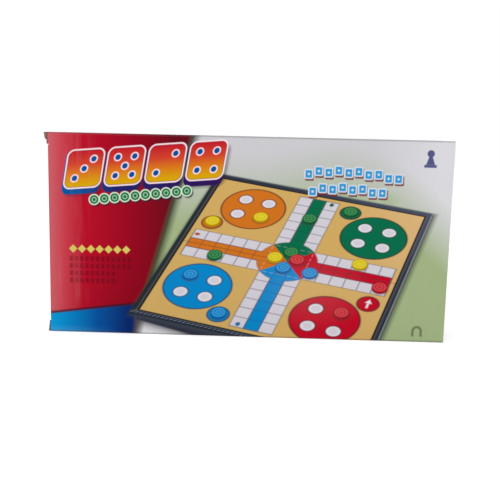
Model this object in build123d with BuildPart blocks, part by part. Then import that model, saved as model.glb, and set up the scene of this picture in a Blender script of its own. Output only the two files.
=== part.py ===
from build123d import *
import os
from math import cos, radians, sin

# Retail carton of a folding magnetic ludo set, standing on its long edge, with the set inside.
# X runs along the carton, -Y is its printed front, +Z is up.  All sizes are millimetres.

# Carton, folded from one blank of fluted board round the case that it holds
board = 1.5
end_clearance = 1.1
top_clearance = 0.6
long_crease_radius = 1.6
glue_flap_width = 14.0
glue_flap_setback = 15.0
glue_flap_taper = 6.0

# Tuck lids and their tongues.  A crease is a bead of the board's own thickness on the fold line.
crease_gap = 0.05
lid_set = 0.6
lid_inset = 8.0
lid_notch = 0.5
lid_corner = 1.0
tuck_gap = 0.3
tongue_clearance = 0.16
tongue_length = 9.5
tongue_tilt = 12.5
tongue_root = 1.1
tongue_inset = 3.0
tongue_corner = 6.0

# Dust flaps.  On the left end the creases stand proud of the lid, as a thick board folds.
dust_gap = 0.3
dust_length = 28.0
dust_side_gap = 0.5
dust_taper = 0.56
dust_shoulder = 7.0
dust_tongue_side = 4.0
dust_corner = 3.0
dust_bend_start = 3.0
dust_bend_end = 6.9
top_left_proud = 2.3
bottom_left_proud = 1.3

# Board case: two moulded halves that fold play side out and store the pieces between them
case_length = 250.0
case_width = 125.0
half_thickness = 13.0
case_corner = 4.0
case_wall = 2.0
case_face = 1.6
case_edge = 0.8
case_seat_gap = 0.2
rim = 7.0
recess_depth = 1.2
groove_level = 6.0
groove_width = 1.6
groove_depth = 0.8

# Steel plates and printed play sheets in the recesses
steel = 0.5
sheet = 0.3
sheet_fit = 0.2

# Case hinge: knuckles on the fold edge with steel pins
hinge_inset = 50.0
knuckle_count = 3
knuckle_length = 8.0
knuckle_gap = 0.2
knuckle_radius = 2.2
knuckle_clearance = 0.25
pin_radius = 1.0
pin_fit = 0.05

# Snap clasp across the two halves on the edge opposite the hinge
clasp_width = 24.0
clasp_reach = 6.3
clasp_plate = 1.4
clasp_lip = 1.3
clasp_lip_height = 1.6
clasp_fit = 0.2
boss_margin = 2.5
boss_height = 2.4

# Tokens, their magnets, the die and the storage tray with its troughs
token_radius = 6.5
token_height = 5.0
token_gap = 0.4
tokens_per_colour = 4
magnet_side = 7.0
magnet_thickness = 1.5
magnet_fit = 0.1
die_size = 11.0
die_edge = 0.8
pocket_fit = 0.3
tray_pitch = 18.0
tray_margin = 3.0
tray_height = 5.0
tray_plate = 1.0
tray_wall = 0.8
tray_floor = 0.6
tray_corner = 3.0
tray_end_gap = 15.0
token_colours = ("red", "yellow", "green", "blue")

# Outside sizes of the carton: the case, the flaps at its ends and the tongues at its sides
bead = board / 2
tongue_reach_in = tongue_length * sin(radians(tongue_tilt)) + bead * cos(radians(tongue_tilt))
tongue_room = tuck_gap + bead + tongue_reach_in + tongue_clearance
carton_width = case_length + 2 * (end_clearance + board + dust_gap + board + lid_set)
carton_depth = 2 * (half_thickness + tongue_room + board)
carton_height = case_seat_gap + case_width + knuckle_radius + top_clearance + 2 * board

# Places worked out from the sizes above
half_width = carton_width / 2
half_depth = carton_depth / 2
mid_height = carton_height / 2
inner_half_depth = half_depth - board
inner_top = carton_height - board
crease_x = half_width - lid_set - bead
crease_y = half_depth - bead
lid_bottom = lid_inset
lid_top = carton_height - lid_inset
fold_y = -(inner_half_depth - tuck_gap - bead)
dust_x = crease_x - board - dust_gap
case_bottom = board + case_seat_gap
case_top = case_bottom + case_width
case_mid = (case_bottom + case_top) / 2
cavity_depth = half_thickness - recess_depth - case_face
play_length = case_length - 2 * rim
play_width = case_width - rim
boss_y = clasp_reach + clasp_fit + boss_margin
hinge_centres = (hinge_inset - case_length / 2, case_length / 2 - hinge_inset)

os.makedirs("parts", exist_ok=True)


def write(part, name):
    """Label a finished piece and write it to its own STEP file."""
    part.label = name
    export_step(part, "parts/" + name + ".step")


# ---------------------------------------------------------------- carton

# An end of the carton is built in its own sense: end = -1 is the left end, whose lid is creased
# to the front panel, and end = +1 the right end, whose lid is creased to the back panel.
# Both X and Y change sign with it, which is the half turn of a reverse-tuck carton.


def panel_end(end):
    """Cut back the panel that carries the lid and round its edge as the crease of the lid."""
    notch_height = lid_top - lid_bottom + 2 * lid_notch
    with BuildSketch(Plane.XY.offset(lid_bottom - lid_notch)) as notch:
        with Locations((end * half_width, end * half_depth)):
            Rectangle(2 * (half_width - crease_x), 2 * board)
    extrude(notch.sketch, amount=notch_height, mode=Mode.SUBTRACT)
    with BuildSketch(Plane.XY.offset(lid_bottom)) as crease:
        with Locations((end * crease_x, end * crease_y)):
            Circle(bead)
    extrude(crease.sketch, amount=lid_top - lid_bottom)


def dust_crease(end, level, axis_x):
    """Bring the top or bottom panel to the crease of its dust flap and round it there."""
    reach = half_width - axis_x
    with BuildSketch(Plane.XY.offset(level - bead)) as margin:
        with Locations((end * (half_width + axis_x) / 2, 0)):
            Rectangle(abs(reach), 2 * inner_half_depth)
    extrude(margin.sketch, amount=board, mode=Mode.SUBTRACT if reach > 0 else Mode.ADD)
    with BuildSketch(Plane.XZ) as crease:
        with Locations((end * axis_x, level)):
            Circle(bead)
    extrude(crease.sketch, amount=inner_half_depth, both=True)


top_crease_z = carton_height - bead
bottom_crease_z = bead
dust_creases = {
    ("left", "top"): (-1, top_crease_z, half_width + top_left_proud - bead),
    ("left", "bottom"): (-1, bottom_crease_z, half_width + bottom_left_proud - bead),
    ("right", "top"): (1, top_crease_z, dust_x),
    ("right", "bottom"): (1, bottom_crease_z, dust_x),
}

with BuildPart() as carton_sleeve:
    with BuildSketch(Plane.YZ):
        with Locations((0, mid_height)):
            RectangleRounded(carton_depth, carton_height, long_crease_radius)
            Rectangle(carton_depth - 2 * board, carton_height - 2 * board, mode=Mode.SUBTRACT)
    extrude(amount=half_width, both=True)
    for lid_end in (-1, 1):
        panel_end(lid_end)
    for end_sign, crease_level, crease_axis_x in dust_creases.values():
        dust_crease(end_sign, crease_level, crease_axis_x)
    # glue flap, folded down from the top panel and glued inside the back panel
    glue_flap_end = half_width - glue_flap_setback
    with BuildSketch(Plane.XZ.offset(-inner_half_depth)):
        with BuildLine():
            Polyline(
                (-glue_flap_end, inner_top),
                (glue_flap_end, inner_top),
                (glue_flap_end - glue_flap_taper, inner_top - glue_flap_width),
                (-glue_flap_end + glue_flap_taper, inner_top - glue_flap_width),
                close=True,
            )
        make_face()
    extrude(amount=board)
write(carton_sleeve.part, "carton_sleeve")


def tuck_lid(end):
    """Lid between its crease on the panel and the bead of the fold to its tongue."""
    root_y = crease_y - bead - crease_gap
    with BuildPart() as lid:
        with BuildSketch(Plane.XY.offset(lid_bottom)):
            with Locations((end * crease_x, end * (root_y + fold_y) / 2)):
                Rectangle(board, root_y - fold_y)
            with Locations((end * crease_x, end * fold_y)):
                Circle(bead)
        extrude(amount=lid_top - lid_bottom)
        corners = lid.edges().filter_by(Axis.X).group_by(Axis.Y)[0 if end > 0 else -1]
        chamfer(corners, length=lid_corner)
    return lid.part


def tongue(end):
    """Tuck tongue, bent in past the square so that it swings clear of the far panel."""
    tilt = radians(tongue_tilt)
    along = (-cos(tilt), sin(tilt))
    tongue_z = lid_bottom + tongue_inset
    with BuildPart() as flap:
        with BuildSketch(Plane.XY.offset(tongue_z)):
            with BuildLine() as middle:
                Line(*[
                    (end * (crease_x + along[0] * reach), end * (fold_y + along[1] * reach))
                    for reach in (tongue_root, tongue_length)
                ])
            trace(middle.line, line_width=board)
        extrude(amount=lid_top - lid_bottom - 2 * tongue_inset)
        tip = flap.faces().sort_by(Axis.X)[0 if end > 0 else -1]
        fillet(tip.edges().filter_by(Axis.Z, reverse=True), radius=tongue_corner)
    return flap.part


def dust_flap(end, level, axis_x):
    """Tapered flap that hangs from its crease and passes under the lid."""
    inward = 1 if level < mid_height else -1
    with BuildPart() as flap:
        with BuildSketch(Plane.XZ):
            with BuildLine() as middle:
                root = (end * axis_x, level + inward * (bead + crease_gap))
                tip = (end * dust_x, level + inward * dust_length)
                if axis_x > dust_x:
                    bend_start = (end * axis_x, level + inward * dust_bend_start)
                    bend_end = (end * dust_x, level + inward * dust_bend_end)
                    Polyline(root, bend_start, bend_end, tip)
                else:
                    Line(root, tip)
            trace(middle.line, line_width=board)
        extrude(amount=inner_half_depth, both=True)
        lid_side = inner_half_depth - dust_side_gap
        tongue_side = -(inner_half_depth - dust_tongue_side)
        lid_side_tip = lid_side - dust_taper * dust_length
        with BuildSketch(Plane.YZ):
            with BuildLine():
                Polyline(
                    (end * lid_side, level),
                    (end * lid_side_tip, level + inward * dust_length),
                    (end * tongue_side, level + inward * dust_length),
                    (end * tongue_side, level + inward * (dust_shoulder + dust_tongue_side)),
                    (-end * lid_side, level + inward * dust_shoulder),
                    (-end * lid_side, level),
                    close=True,
                )
            outline = make_face()
            tip_corners = outline.vertices().group_by(Axis.Y)[-1 if inward > 0 else 0]
            fillet(tip_corners, radius=dust_corner)
        extrude(amount=carton_width, both=True, mode=Mode.INTERSECT)
    return flap.part


for side_name, end_sign in (("left", -1), ("right", 1)):
    write(tuck_lid(end_sign), side_name + "_lid")
    write(tongue(end_sign), side_name + "_tongue")
for (side_name, level_name), crease_place in dust_creases.items():
    write(dust_flap(*crease_place), side_name + "_dust_flap_" + level_name)


# ---------------------------------------------------------------- board case


def case_plane(side, depth):
    """Plane parallel to the play faces, at a depth from where the halves meet."""
    return Plane.XZ.offset(-side * depth)


def knuckle_places(parity):
    """X of every second knuckle of each hinge: 0 gives the front half's, 1 the back half's."""
    first = -(knuckle_count - 1) / 2
    return [
        centre + (first + index) * knuckle_length
        for centre in hinge_centres
        for index in range(parity, knuckle_count, 2)
    ]


def knuckles(places, radius, length, mode):
    """Barrels on the fold line, at the given places along the hinge."""
    for place in places:
        with BuildSketch(Plane.YZ.offset(place)) as barrel:
            with Locations((0, case_top)):
                Circle(radius)
        extrude(barrel.sketch, amount=length / 2, both=True, mode=mode)


def case_half(side):
    """One moulded half: play face outwards, hollow towards the other half."""
    parity = 0 if side < 0 else 1
    with BuildPart() as half:
        with BuildSketch(case_plane(side, 0)):
            with Locations((0, case_mid)):
                RectangleRounded(case_length, case_width, case_corner)
        extrude(amount=-side * half_thickness)
        outer_face = half.faces().sort_by(Axis.Y)[0 if side < 0 else -1]
        chamfer(outer_face.edges(), length=case_edge)
        # grip groove round the four sides
        with BuildSketch(case_plane(side, groove_level)):
            with Locations((0, case_mid)):
                Rectangle(case_length + 2 * case_wall, case_width + 2 * case_wall)
                RectangleRounded(
                    case_length - 2 * groove_depth,
                    case_width - 2 * groove_depth,
                    case_corner,
                    mode=Mode.SUBTRACT,
                )
        extrude(amount=-side * groove_width, mode=Mode.SUBTRACT)
        # storage hollow
        with BuildSketch(case_plane(side, 0)):
            with Locations((0, case_mid)):
                RectangleRounded(
                    case_length - 2 * case_wall, case_width - 2 * case_wall, case_corner - case_wall
                )
        extrude(amount=-side * cavity_depth, mode=Mode.SUBTRACT)
        # recess of the play sheet, open at the fold edge
        with BuildSketch(case_plane(side, half_thickness)):
            with Locations((0, case_top)):
                Rectangle(play_length, play_width, align=(Align.CENTER, Align.MAX))
        extrude(amount=side * recess_depth, mode=Mode.SUBTRACT)
        # clasp boss inside the latch edge, with the seat and the slot of the clasp
        with BuildSketch(case_plane(side, 0)):
            with Locations((0, case_bottom)):
                Rectangle(
                    clasp_width + 2 * boss_margin,
                    case_wall + boss_height,
                    align=(Align.CENTER, Align.MIN),
                )
        extrude(amount=-side * boss_y)
        with BuildSketch(case_plane(side, 0)):
            with Locations((0, case_bottom)):
                Rectangle(
                    clasp_width + 2 * clasp_fit,
                    clasp_plate + clasp_fit,
                    align=(Align.CENTER, Align.MIN),
                )
        extrude(amount=-side * (clasp_reach + clasp_fit), mode=Mode.SUBTRACT)
        with BuildSketch(case_plane(side, clasp_reach - clasp_lip - clasp_fit)):
            with Locations((0, case_bottom)):
                Rectangle(
                    clasp_width + 2 * clasp_fit,
                    clasp_plate + clasp_lip_height + 2 * clasp_fit,
                    align=(Align.CENTER, Align.MIN),
                )
        extrude(amount=-side * (clasp_lip + 2 * clasp_fit), mode=Mode.SUBTRACT)
        # hinge: room for the other half's knuckles, its own knuckles, and the pin hole
        knuckles(
            knuckle_places(1 - parity),
            knuckle_radius + knuckle_clearance,
            knuckle_length + knuckle_gap,
            Mode.SUBTRACT,
        )
        knuckles(knuckle_places(parity), knuckle_radius, knuckle_length - knuckle_gap, Mode.ADD)
        knuckles(
            hinge_centres, pin_radius + pin_fit, knuckle_count * knuckle_length, Mode.SUBTRACT
        )
    return half.part


write(case_half(-1), "case_half_front")
write(case_half(1), "case_half_back")

for pin_name, pin_centre in zip(("left", "right"), hinge_centres):
    with BuildPart() as hinge_pin:
        with BuildSketch(Plane.YZ.offset(pin_centre)):
            with Locations((0, case_top)):
                Circle(pin_radius)
        extrude(amount=(knuckle_count * knuckle_length - knuckle_gap) / 2, both=True)
    write(hinge_pin.part, "hinge_pin_" + pin_name)

with BuildPart() as case_clasp:
    with BuildSketch(Plane.YZ):
        with Locations((0, case_bottom)):
            Rectangle(2 * clasp_reach, clasp_plate, align=(Align.CENTER, Align.MIN))
        for lip_side in (-1, 1):
            with Locations((lip_side * (clasp_reach - clasp_lip / 2), case_bottom)):
                Rectangle(
                    clasp_lip, clasp_plate + clasp_lip_height, align=(Align.CENTER, Align.MIN)
                )
    extrude(amount=clasp_width / 2, both=True)
    fillet(case_clasp.edges().filter_by(Axis.X).group_by(Axis.Z)[-1], radius=clasp_lip / 3)
write(case_clasp.part, "case_clasp")


def recess_layer(side, depth, thickness):
    """Thin plate that lies in the recess of a play face."""
    with BuildPart() as layer:
        with BuildSketch(case_plane(side, depth)):
            with Locations((0, case_top - sheet_fit)):
                Rectangle(
                    play_length - 2 * sheet_fit,
                    play_width - 2 * sheet_fit,
                    align=(Align.CENTER, Align.MAX),
                )
        extrude(amount=-side * thickness)
    return layer.part


recess_floor = half_thickness - recess_depth
for half_name, half_side in (("front", -1), ("back", 1)):
    write(recess_layer(half_side, recess_floor, steel), "steel_plate_" + half_name)
    write(recess_layer(half_side, recess_floor + steel, sheet), "play_sheet_" + half_name)


# ---------------------------------------------------------------- pieces in the storage tray

token_pitch = 2 * token_radius + token_gap
token_row = tokens_per_colour * token_pitch
pocket_radius = token_radius + pocket_fit
trough_length = token_row - token_gap + 2 * pocket_fit
die_pocket = die_size + 2 * pocket_fit
tray_columns = len(token_colours) + 1
tray_length = tray_columns * tray_pitch + 2 * tray_margin
tray_width = trough_length + 2 * tray_wall + 2 * tray_margin
tray_centre_x = -(case_length / 2 - case_wall - tray_end_gap - tray_length / 2)
column_x = [
    tray_centre_x + (column - (tray_columns - 1) / 2) * tray_pitch for column in range(tray_columns)
]
trough_places = [(x, case_mid) for x in column_x[:-1]]
die_place = (column_x[-1], case_mid)


def tray_plane(height):
    """Plane parallel to the tray, at a height above the floor of the back half."""
    return Plane.XZ.offset(height - cavity_depth)


with BuildPart() as storage_tray:
    with BuildSketch(tray_plane(0)):
        with Locations((tray_centre_x, case_mid)):
            RectangleRounded(tray_length, tray_width, tray_corner)
            RectangleRounded(
                tray_length - 2 * tray_wall,
                tray_width - 2 * tray_wall,
                tray_corner - tray_wall,
                mode=Mode.SUBTRACT,
            )
        with Locations(*trough_places):
            Rectangle(2 * (pocket_radius + tray_wall), trough_length + 2 * tray_wall)
        with Locations(die_place):
            Rectangle(die_pocket + 2 * tray_wall, die_pocket + 2 * tray_wall)
    extrude(amount=tray_height)
    with BuildSketch(tray_plane(tray_height - tray_plate)):
        with Locations((tray_centre_x, case_mid)):
            RectangleRounded(tray_length, tray_width, tray_corner)
    extrude(amount=tray_plate)
    with BuildSketch(tray_plane(tray_floor)):
        with Locations(*trough_places):
            SlotOverall(trough_length, 2 * pocket_radius, rotation=90)
        with Locations(die_place):
            Rectangle(die_pocket, die_pocket)
    extrude(amount=tray_height, mode=Mode.SUBTRACT)
write(storage_tray.part, "storage_tray")


def token_places(x):
    """X and Z of the tokens in the trough at x, in a row against each other."""
    first = case_mid - (tokens_per_colour - 1) / 2 * token_pitch
    return [(x, first + index * token_pitch) for index in range(tokens_per_colour)]


def token(place):
    """Round token with a square pocket in its foot for the magnet."""
    with BuildPart() as piece:
        with BuildSketch(tray_plane(tray_floor)):
            with Locations(place):
                Circle(token_radius)
        extrude(amount=token_height)
        with BuildSketch(tray_plane(tray_floor)):
            with Locations(place):
                Rectangle(magnet_side + 2 * magnet_fit, magnet_side + 2 * magnet_fit)
        extrude(amount=magnet_thickness + magnet_fit, mode=Mode.SUBTRACT)
    return piece.part


for colour, x in zip(token_colours, column_x):
    for number, place in enumerate(token_places(x), start=1):
        write(token(place), f"{colour}_token_{number}")
    with BuildPart() as magnets:
        with BuildSketch(tray_plane(tray_floor)):
            with Locations(*token_places(x)):
                Rectangle(magnet_side, magnet_side)
        extrude(amount=magnet_thickness)
    write(magnets.part, colour + "_token_magnets")

with BuildPart() as die:
    with BuildSketch(tray_plane(tray_floor)):
        with Locations(die_place):
            Rectangle(die_size, die_size)
    extrude(amount=die_size)
    chamfer(die.edges(), length=die_edge)
write(die.part, "die")
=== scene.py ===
from math import asin, cos, pi, radians, sin

import bmesh
import bpy
from mathutils import Matrix, Vector


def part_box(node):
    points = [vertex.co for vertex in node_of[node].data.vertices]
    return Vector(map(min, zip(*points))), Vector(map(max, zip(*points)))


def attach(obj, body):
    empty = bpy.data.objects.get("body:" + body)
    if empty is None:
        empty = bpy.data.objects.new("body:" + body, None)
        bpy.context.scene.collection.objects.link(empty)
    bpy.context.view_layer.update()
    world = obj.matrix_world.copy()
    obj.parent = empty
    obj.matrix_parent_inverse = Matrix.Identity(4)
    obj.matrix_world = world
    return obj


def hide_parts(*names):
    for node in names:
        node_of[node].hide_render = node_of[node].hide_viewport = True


# Retail carton of a folding magnetic ludo set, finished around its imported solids.  The sections
# follow the carton as it is made and packed.  Prints and shapes are worked out in millimetres.
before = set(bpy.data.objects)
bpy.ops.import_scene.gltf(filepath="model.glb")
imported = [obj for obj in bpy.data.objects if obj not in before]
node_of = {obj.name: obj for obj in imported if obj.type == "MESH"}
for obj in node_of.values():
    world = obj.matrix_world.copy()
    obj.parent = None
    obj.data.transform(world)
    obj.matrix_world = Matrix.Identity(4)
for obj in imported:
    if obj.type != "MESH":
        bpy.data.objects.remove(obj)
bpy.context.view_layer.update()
MM = 0.001


# ------------------------------------------------------------------ raw board of the carton
# Thin fluted board, die-cut and creased.  Both liners are pressed from recycled grey-brown pulp,
# and a cut edge shows the flutes between them.  Flaps and tongues keep their bare liner.


class Field:
    """A number that varies over a surface; arithmetic on it adds Math nodes to its finish."""

    def __init__(self, finish, socket):
        self.finish = finish
        self.socket = socket

    def __add__(self, other):
        return self.finish.sum("ADD", self, other)

    def __sub__(self, other):
        return self.finish.sum("SUBTRACT", self, other)

    def __rsub__(self, other):
        return self.finish.sum("SUBTRACT", other, self)

    def __mul__(self, other):
        return self.finish.sum("MULTIPLY", self, other)

    def __truediv__(self, other):
        return self.finish.sum("DIVIDE", self, other)

    def __neg__(self):
        return self * -1.0

    def __abs__(self):
        return self.finish.sum("ABSOLUTE", self)

    def __gt__(self, other):
        return self.finish.sum("GREATER_THAN", self, other)

    def __lt__(self, other):
        return self.finish.sum("LESS_THAN", self, other)

    def most(self, other):
        return self.finish.sum("MAXIMUM", self, other)

    def least(self, other):
        return self.finish.sum("MINIMUM", self, other)

    def floor(self):
        return self.finish.sum("FLOOR", self)

    def to_nearest(self, pitch):
        """Distance to the nearest multiple of the pitch."""
        return self.finish.sum("PINGPONG", self, pitch / 2)

    __radd__ = __add__
    __rmul__ = __mul__


def ink(red, green, blue):
    """Printing ink or pigment given in display values, as the shader wants it."""
    levels = [level / 255 for level in (red, green, blue)]
    return [v / 12.92 if v < 0.04045 else ((v + 0.055) / 1.055) ** 2.4 for v in levels] + [1.0]


class Finish:
    """One material: its shader, the place on the surface in millimetres, and mixing of inks."""

    def __init__(self, name, roughness, specular=0.5, metallic=0.0):
        self.material = bpy.data.materials.new(name)
        self.material.use_nodes = True
        self.tree = self.material.node_tree
        self.shader = self.tree.nodes["Principled BSDF"]
        self.shader.inputs["Roughness"].default_value = roughness
        self.shader.inputs["Specular IOR Level"].default_value = specular
        self.shader.inputs["Metallic"].default_value = metallic
        coordinates = self.tree.nodes.new("ShaderNodeTexCoord")
        self.place = self.vector("SCALE", coordinates.outputs["Object"], scale=1 / MM)
        self.x, self.y, self.z = self.split(self.place)

    def feed(self, socket, value):
        value = getattr(value, "socket", value)
        if isinstance(value, bpy.types.NodeSocket):
            self.tree.links.new(value, socket)
        else:
            socket.default_value = value

    def sum(self, operation, *values):
        node = self.tree.nodes.new("ShaderNodeMath")
        node.operation = operation
        for socket, value in zip(node.inputs, values):
            self.feed(socket, value)
        return Field(self, node.outputs[0])

    def vector(self, operation, first, second=None, scale=None):
        node = self.tree.nodes.new("ShaderNodeVectorMath")
        node.operation = operation
        self.feed(node.inputs[0], first)
        if second is not None:
            self.feed(node.inputs[1], second)
        if scale is not None:
            node.inputs["Scale"].default_value = scale
        return node.outputs["Value" if operation == "LENGTH" else "Vector"]

    def split(self, vector):
        node = self.tree.nodes.new("ShaderNodeSeparateXYZ")
        self.feed(node.inputs[0], vector)
        return [Field(self, socket) for socket in node.outputs]

    def join(self, *values):
        node = self.tree.nodes.new("ShaderNodeCombineXYZ")
        for socket, value in zip(node.inputs, values):
            self.feed(socket, value)
        return node.outputs[0]

    def radius(self, *values):
        """Length of the vector with these components."""
        return Field(self, self.vector("LENGTH", self.join(*values)))

    def ramp(self, value, low, high):
        """0 below low and 1 above high, straight between; low may be the larger."""
        node = self.tree.nodes.new("ShaderNodeMapRange")
        for socket, number in zip(node.inputs, (value, low, high, 0.0, 1.0)):
            self.feed(socket, number)
        return Field(self, node.outputs[0])

    def within(self, distance, softness=0.25):
        """1 where a signed distance is inside, with an edge as soft as a printing screen."""
        return self.ramp(distance, softness, -softness)

    def noise(self, size, detail=3.0, stretch=(1.0, 1.0, 1.0), roughness=0.5):
        """Random grain of a size in millimetres, drawn out along the axes by stretch."""
        node = self.tree.nodes.new("ShaderNodeTexNoise")
        grain = [1 / (size * s) for s in stretch]
        self.feed(node.inputs["Vector"], self.vector("MULTIPLY", self.place, grain))
        node.inputs["Scale"].default_value = 1.0
        node.inputs["Detail"].default_value = detail
        node.inputs["Roughness"].default_value = roughness
        return Field(self, node.outputs[0])

    def paint(self, under, over, amount):
        """Lay one ink over another."""
        node = self.tree.nodes.new("ShaderNodeMix")
        node.data_type = "RGBA"
        self.feed(node.inputs[0], amount)
        self.feed(node.inputs[6], under)
        self.feed(node.inputs[7], over)
        return node.outputs[2]

    def blend(self, value, *stops):
        """Ink that changes along a value through (value, ink) stops."""
        (place, colour), *rest = stops
        for next_place, next_colour in rest:
            colour = self.paint(colour, next_colour, self.ramp(value, place, next_place))
            place = next_place
        return colour

    def colour(self, value):
        self.feed(self.shader.inputs["Base Color"], value)

    def rough(self, value):
        self.feed(self.shader.inputs["Roughness"], value)

    def bump(self, height, depth):
        """Relief of a depth in millimetres."""
        node = self.tree.nodes.new("ShaderNodeBump")
        node.inputs["Distance"].default_value = depth * MM
        self.feed(node.inputs["Height"], height)
        self.feed(self.shader.inputs["Normal"], node.outputs[0])


def finish_node(name, finish):
    """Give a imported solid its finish."""
    for slot in node_of[name].material_slots:
        slot.material = finish.material


FLUTE_PITCH = 2.9
LINER = ink(158, 146, 128)
LINER_DARK = ink(132, 118, 101)
# dark grey-brown painted on the ends of the ears beside the lids
EAR_END_DARK = ink(84, 74, 68)


def pulp(finish):
    """Colour of a bare liner: mottled pulp with darker fibres."""
    mottle = finish.noise(5.0, detail=4.0)
    fibre = finish.noise(0.35, detail=2.0, stretch=(1.0, 1.0, 5.0))
    colour = finish.paint(LINER_DARK, LINER, finish.ramp(mottle, 0.2, 0.75))
    return finish.paint(colour, ink(92, 80, 68), finish.ramp(fibre, 0.6, 0.78) * 0.55)


def fluting(finish):
    """Height of the flutes that read through a liner, upright on the carton."""
    return finish.sum("SINE", finish.x * (2 * pi / FLUTE_PITCH))


lining = Finish("board_lining", roughness=0.88, specular=0.25)
lining.colour(pulp(lining))
lining.bump(lining.noise(0.5) + fluting(lining) * 0.25, 0.05)
for side in ("left", "right"):
    for flap in ("tongue", "dust_flap_top", "dust_flap_bottom"):
        finish_node(f"{side}_{flap}", lining)


# ------------------------------------------------------------------ printed outside of the carton
# A clay-coated sheet, printed in four inks and varnished, is laminated over the fluted board.
# A red field with a blue foot wraps the left end; the rest is pale grey that turns green below.

HALF_WIDTH, HALF_DEPTH, HEIGHT = 130.0, 18.5, 131.0
LONG_CREASE = 1.6
BOARD = 1.5
LITHO_SHEET = 0.3
LID_FACE = 129.4
LID_BEAD = 0.75
LID_BEAD_X, LID_BEAD_Y = 128.65, 17.75
LID_HALF = 57.5
LID_NOTCH_HALF = 58.0
# allowances that keep a face on the side of a boundary that it belongs to
INNER_SKIN = 0.1
EDGE_SLACK = 0.05
PALE = ink(201, 200, 205)
GREEN_GROUND = ink(160, 178, 132)
GREEN_PATCH_X, GREEN_PATCH_Z = 89.0, 91.0
GREEN_GLOW_X = 52.0
PALE_PATCH_X = -52.0
RED_EDGE_X, RED_EDGE_LEAN = -75.4, 0.2934
FOOT_START_X, FOOT_START_Z, FOOT_RISE = -101.0, 16.3, 0.135
FOOT_END_X, FOOT_END_LEAN = -74.5, 0.16
CUT_FLUTE_PITCH = 1.7


def carton_ground(finish, x, z, painted_gloss_haze=True):
    """Colour fields of the carton: pale ground, green glow, red field and blue foot."""
    to_right = (x - GREEN_GLOW_X).most(0.0)
    to_left = (GREEN_GLOW_X - x).most(0.0).least(45.0)
    glow = finish.ramp(z + to_right * to_right * 0.0065 + to_left * 0.2, 129.0, 83.0)
    patch = finish.radius(x - GREEN_PATCH_X, (z - GREEN_PATCH_Z) * 1.3)
    glow = glow.most(finish.ramp(patch, 22.0, 2.0) * 0.8)
    pale_patch = finish.radius(x - PALE_PATCH_X, z * 1.8)
    ground = finish.blend(x, (78.0, PALE), (122.0, ink(216, 215, 220)))
    ground = finish.paint(ground, GREEN_GROUND, glow * finish.ramp(pale_patch, 22.0, 44.0))
    ground = finish.paint(ground, ink(222, 222, 225), finish.ramp(pale_patch, 36.0, 18.0))

    red_side = x - z * RED_EDGE_LEAN - RED_EDGE_X
    shade = finish.ramp(red_side, 6.8, 1.5)
    ground = finish.paint(ground, ink(46, 56, 36), shade * 0.92)
    red = finish.blend(
        x,
        (-106.0, ink(181, 8, 38)),
        (-74.0, ink(147, 0, 27)),
        (-48.0, ink(100, 4, 22)),
    )
    # painted reflection: a pinkish gloss haze laid into the red over the left end of the field
    if painted_gloss_haze:
        red = finish.blend(
            x,
            (-128.0, ink(199, 92, 101)),
            (-120.0, ink(198, 62, 76)),
            (-107.0, red),
        )
    dim = finish.ramp(z, 60.0, 18.0) * finish.ramp(x, -124.0, -90.0)
    red = finish.paint(red, ink(110, 0, 22), dim * 0.3)
    ground = finish.paint(ground, red, finish.within(red_side, 1.7))

    foot_line = (x - FOOT_START_X) * FOOT_RISE + FOOT_START_Z
    below = z - foot_line
    in_foot = x - FOOT_END_X - z * FOOT_END_LEAN
    shade = finish.ramp(in_foot, 7.0, 0.0) * finish.within(below, 1.0)
    ground = finish.paint(ground, ink(84, 72, 84), shade * 0.85)
    blue = finish.blend(
        x,
        (-128.0, ink(0, 152, 212)),
        (-98.0, ink(0, 80, 156)),
        (-78.0, ink(4, 38, 104)),
    )
    low = finish.ramp(z, 5.0, 0.0) * finish.ramp(x, -84.0, -118.0)
    blue = finish.paint(blue, ink(96, 172, 204), low * 0.3)
    ground = finish.paint(ground, blue, finish.within(below, 0.6) * finish.within(in_foot, 1.2))
    foot_rule = finish.ramp(abs(below - 0.5), 1.4, 0.2) * finish.within(in_foot, 1.2)
    return finish.paint(ground, ink(30, 12, 34), foot_rule * 0.82)


def varnish(finish, colour):
    """Print over flutes: faint upright painted sheen, painted shade and rubbing on creases, varnish
    gloss.
    """
    streak = finish.noise(3.4, detail=2.0, stretch=(1.0, 1.0, 30.0))
    cloud = finish.noise(16.0, detail=2.0, stretch=(0.6, 1.0, 3.0))
    sheen = finish.ramp(streak, 0.5, 0.74) * finish.ramp(cloud, 0.44, 0.62)
    sheen = sheen * finish.ramp(abs(finish.x), 96.0, 120.0) * finish.ramp(finish.z, 16.0, 26.0)
    colour = finish.paint(colour, ink(226, 160, 168), sheen * 0.2)
    across = abs(finish.z - HEIGHT / 2) - (HEIGHT / 2 - LONG_CREASE)
    at_crease = finish.ramp(across, 0.3, 1.3)
    at_crease = at_crease * finish.ramp(abs(finish.y) - (HALF_DEPTH - LONG_CREASE), -0.8, 0.4)
    # painted shade: the print darkens along the rounded long creases
    colour = finish.paint(colour, ink(92, 66, 74), at_crease * 0.42)
    rub = finish.noise(1.3, detail=5.0, stretch=(3.0, 1.0, 1.0), roughness=0.65)
    rubbed = at_crease * finish.ramp(rub, 0.6, 0.72)
    colour = finish.paint(colour, ink(206, 198, 196), rubbed * 0.3)
    finish.colour(colour)
    finish.rough(finish.ramp(finish.noise(30.0), 0.2, 0.9) * 0.12 + 0.30)
    finish.bump(fluting(finish) * 0.5 + finish.noise(18.0, stretch=(0.4, 1.0, 2.0)) * 3.0, 0.035)


def cut_edge(finish, in_board):
    """Colour behind the printed skin: liner, and flutes seen end-on where the board is cut, with
    painted shade in their hollows.
    """
    web = finish.sum("SINE", (finish.x + finish.y + finish.z) * (2 * pi / CUT_FLUTE_PITCH))
    # painted shade: the hollows between the flutes are darkened
    hollow = finish.ramp(web, 0.35, 0.8) * in_board
    return finish.paint(pulp(finish), ink(74, 60, 48), hollow * 0.5)


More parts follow.
